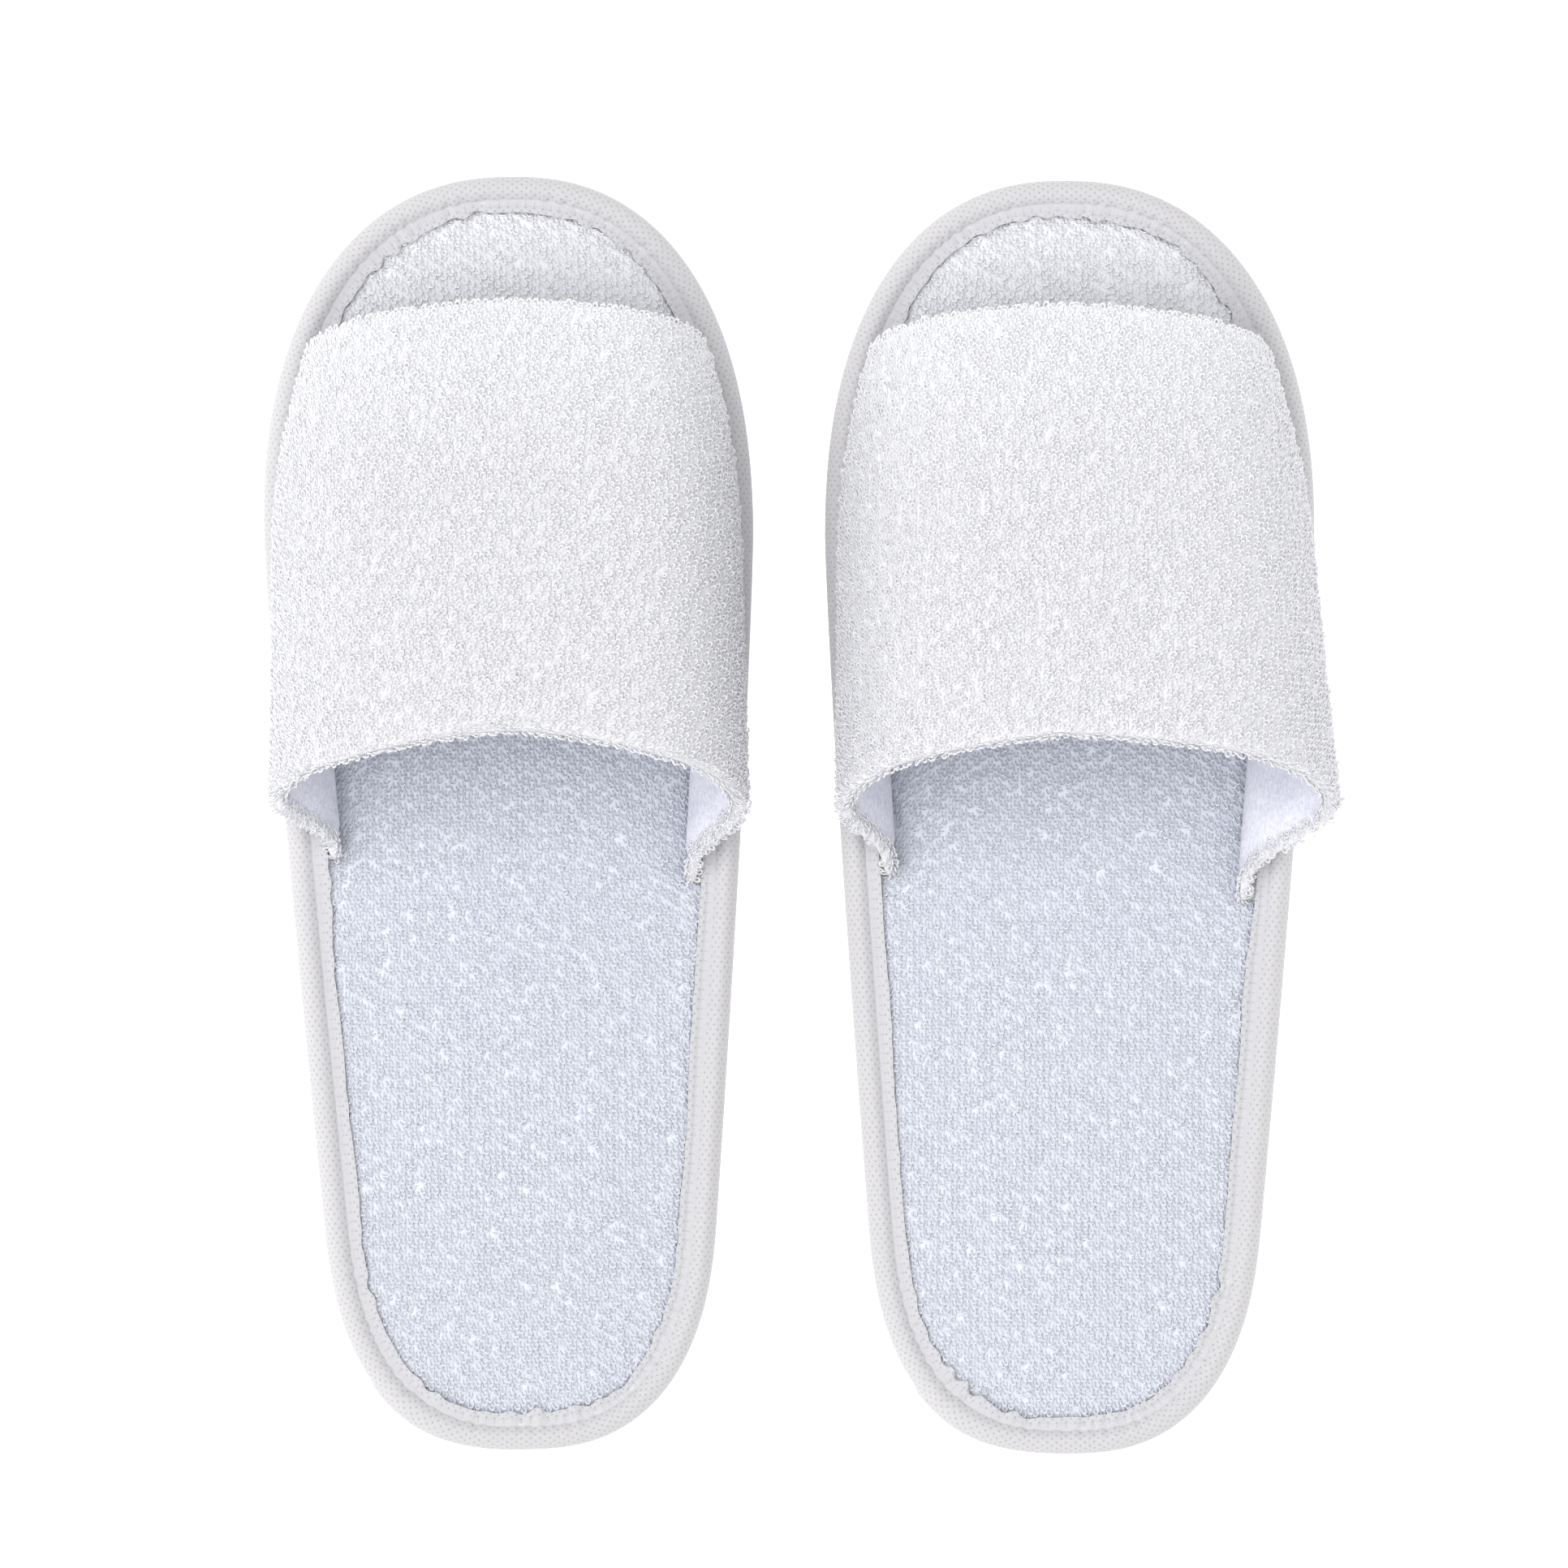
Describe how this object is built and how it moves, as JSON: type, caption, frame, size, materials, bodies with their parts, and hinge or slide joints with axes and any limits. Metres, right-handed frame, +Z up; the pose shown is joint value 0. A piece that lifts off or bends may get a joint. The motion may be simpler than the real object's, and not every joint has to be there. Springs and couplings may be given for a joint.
{
  "type": "spa slippers",
  "caption": "Open-toe slip-on terry slippers with a padded arched upper, layered soft sole and a stitched nonwoven edge binding.",
  "frame": {"origin": "bottom centre of the pair's bounding box, on the surface that both soles stand on", "axes": "+Y from the heels to the toes, +X to the wearer's right, +Z up"},
  "size_m": [0.2428, 0.2868, 0.0618],
  "materials": {
    "outsole": "matt closed-cell EVA foam sheet with a fine non-slip texture",
    "insole_board": "thin matt fibre board",
    "foam": "open-cell sponge",
    "insole_terry": "bluish white terry knit with small curly loops in columns",
    "upper_terry": "bright white soft terry with short dense loops",
    "lining": "smooth brushed knit",
    "binding_tape": "warm white spunbond nonwoven with a fine dot emboss",
    "thread": "spun polyester sewing thread"
  },
  "bodies": {
    "left_slipper": {"left_outsole": "outsole", "left_insole_board": "insole_board", "left_insole_pad": "foam", "left_insole_cover": "insole_terry", "left_edge_binding": "binding_tape", "left_seam_thread_top": "thread", "left_seam_thread_under": "thread", "left_upper_cover": "upper_terry", "left_upper_foam": "foam", "left_upper_lining": "lining", "left_front_hem_thread": "thread", "left_throat_hem_thread": "thread"},
    "right_slipper": {"right_outsole": "outsole", "right_insole_board": "insole_board", "right_insole_pad": "foam", "right_insole_cover": "insole_terry", "right_edge_binding": "binding_tape", "right_seam_thread_top": "thread", "right_seam_thread_under": "thread", "right_upper_cover": "upper_terry", "right_upper_foam": "foam", "right_upper_lining": "lining", "right_front_hem_thread": "thread", "right_throat_hem_thread": "thread"}
  },
  "joints": [
    {"name": "right_slipper_lift", "type": "slide", "parent": "left_slipper", "child": "right_slipper", "axis": [0, 0, 1], "range_m": [0, 0.15]}
  ]
}
